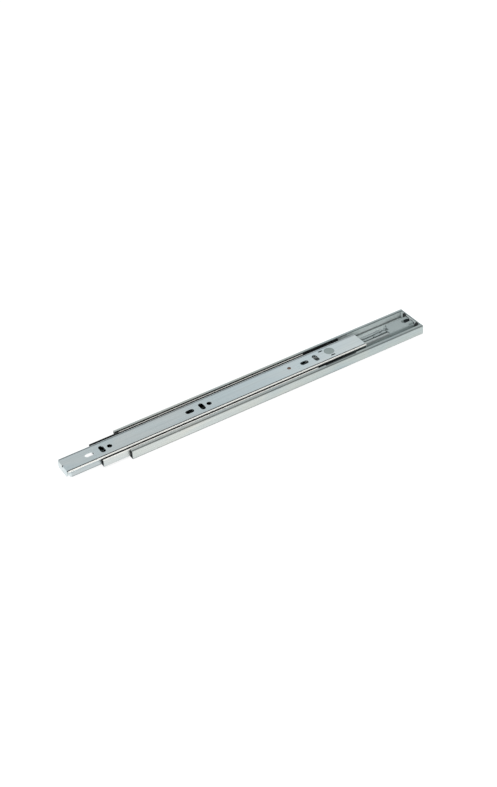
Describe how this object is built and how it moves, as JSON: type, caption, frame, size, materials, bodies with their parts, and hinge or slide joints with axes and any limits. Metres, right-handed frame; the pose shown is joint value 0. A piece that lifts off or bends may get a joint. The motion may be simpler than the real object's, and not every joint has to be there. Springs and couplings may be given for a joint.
{
  "type": "drawer slide",
  "caption": "Full-extension ball-bearing drawer slide, side mounted, with three nested steel members and a soft-close unit at the rear, stored partly open.",
  "frame": {"origin": "centre of the outer member's cabinet face, halfway along its length", "axes": "+X along the slide to the rear, -X the way the drawer opens; +Z from the cabinet side towards the drawer; +Y up the cabinet side or down it, depending on the hand"},
  "size_m": [0.4745, 0.045, 0.0127],
  "materials": {
    "zinc_outer": "bright zinc plate",
    "zinc_middle": "bright zinc plate",
    "zinc_inner": "bright zinc plate",
    "grey_plastic": "moulded",
    "grey_plastic_dark": "moulded",
    "black_plastic": "moulded",
    "striker_plastic": "moulded",
    "damper_steel": "drawn tube",
    "pin_steel": "turned",
    "spring_steel": "drawn wire",
    "ball_steel": "ground",
    "rivet_brass": "copper-washed",
    "rubber": "moulded"
  },
  "bodies": {
    "outer_rail": {"outer_member": "zinc_outer", "closer_housing": "grey_plastic", "damper_cylinder": "damper_steel", "damper_gland": "black_plastic", "damper_seal": "rubber", "housing_rivets": "pin_steel", "rear_bumpers": "rubber", "spring_anchor": "pin_steel", "closer_spring": "spring_steel"},
    "outer_cage": {"outer_ball_cage": "black_plastic", "outer_balls": "ball_steel"},
    "middle_rail": {"middle_member": "zinc_middle", "middle_bumper": "rubber"},
    "inner_cage": {"inner_ball_cage": "black_plastic", "inner_balls": "ball_steel"},
    "inner_rail": {"inner_member": "zinc_inner", "striker_pin": "striker_plastic", "lever_rivet": "rivet_brass"},
    "lever": {"release_lever": "black_plastic"},
    "catch": {"catch_carriage": "grey_plastic_dark", "spring_hook": "pin_steel", "damper_rod": "pin_steel", "damper_piston": "black_plastic", "pawl_pin": "pin_steel"},
    "catch_pawl": {"pawl": "grey_plastic_dark"}
  },
  "joints": [
    {"name": "middle_slide", "type": "slide", "parent": "outer_rail", "child": "middle_rail", "axis": [-1, 0, 0], "range_m": [-0.033, 0.167]},
    {"name": "outer_cage_slide", "type": "slide", "parent": "outer_rail", "child": "outer_cage", "axis": [-1, 0, 0], "range_m": [-0.0165, 0.0835]},
    {"name": "inner_slide", "type": "slide", "parent": "middle_rail", "child": "inner_rail", "axis": [-1, 0, 0], "range_m": [-0.0415, 0.1585]},
    {"name": "inner_cage_slide", "type": "slide", "parent": "middle_rail", "child": "inner_cage", "axis": [-1, 0, 0], "range_m": [-0.02075, 0.07925]},
    {"name": "catch_slide", "type": "slide", "parent": "outer_rail", "child": "catch", "axis": [1, 0, 0], "range_m": [0, 0.033], "deforming": ["closer_spring"]},
    {"name": "pawl_rock", "type": "hinge", "parent": "catch", "child": "catch_pawl", "pos_m": [0.1248, 0.0021, 0.0051], "axis": [0, 1, 0], "range_deg": [0, 14]},
    {"name": "lever_turn", "type": "hinge", "parent": "inner_rail", "child": "lever", "pos_m": [0.022, 0.0015, 0.0106], "axis": [0, 0, 1], "range_deg": [0, 8], "stiffness_Nm_per_rad": 0.02}
  ],
  "couplings": [
    {"joint": "outer_cage_slide", "follows": "middle_slide", "ratio": 0.5},
    {"joint": "inner_cage_slide", "follows": "inner_slide", "ratio": 0.5}
  ]
}
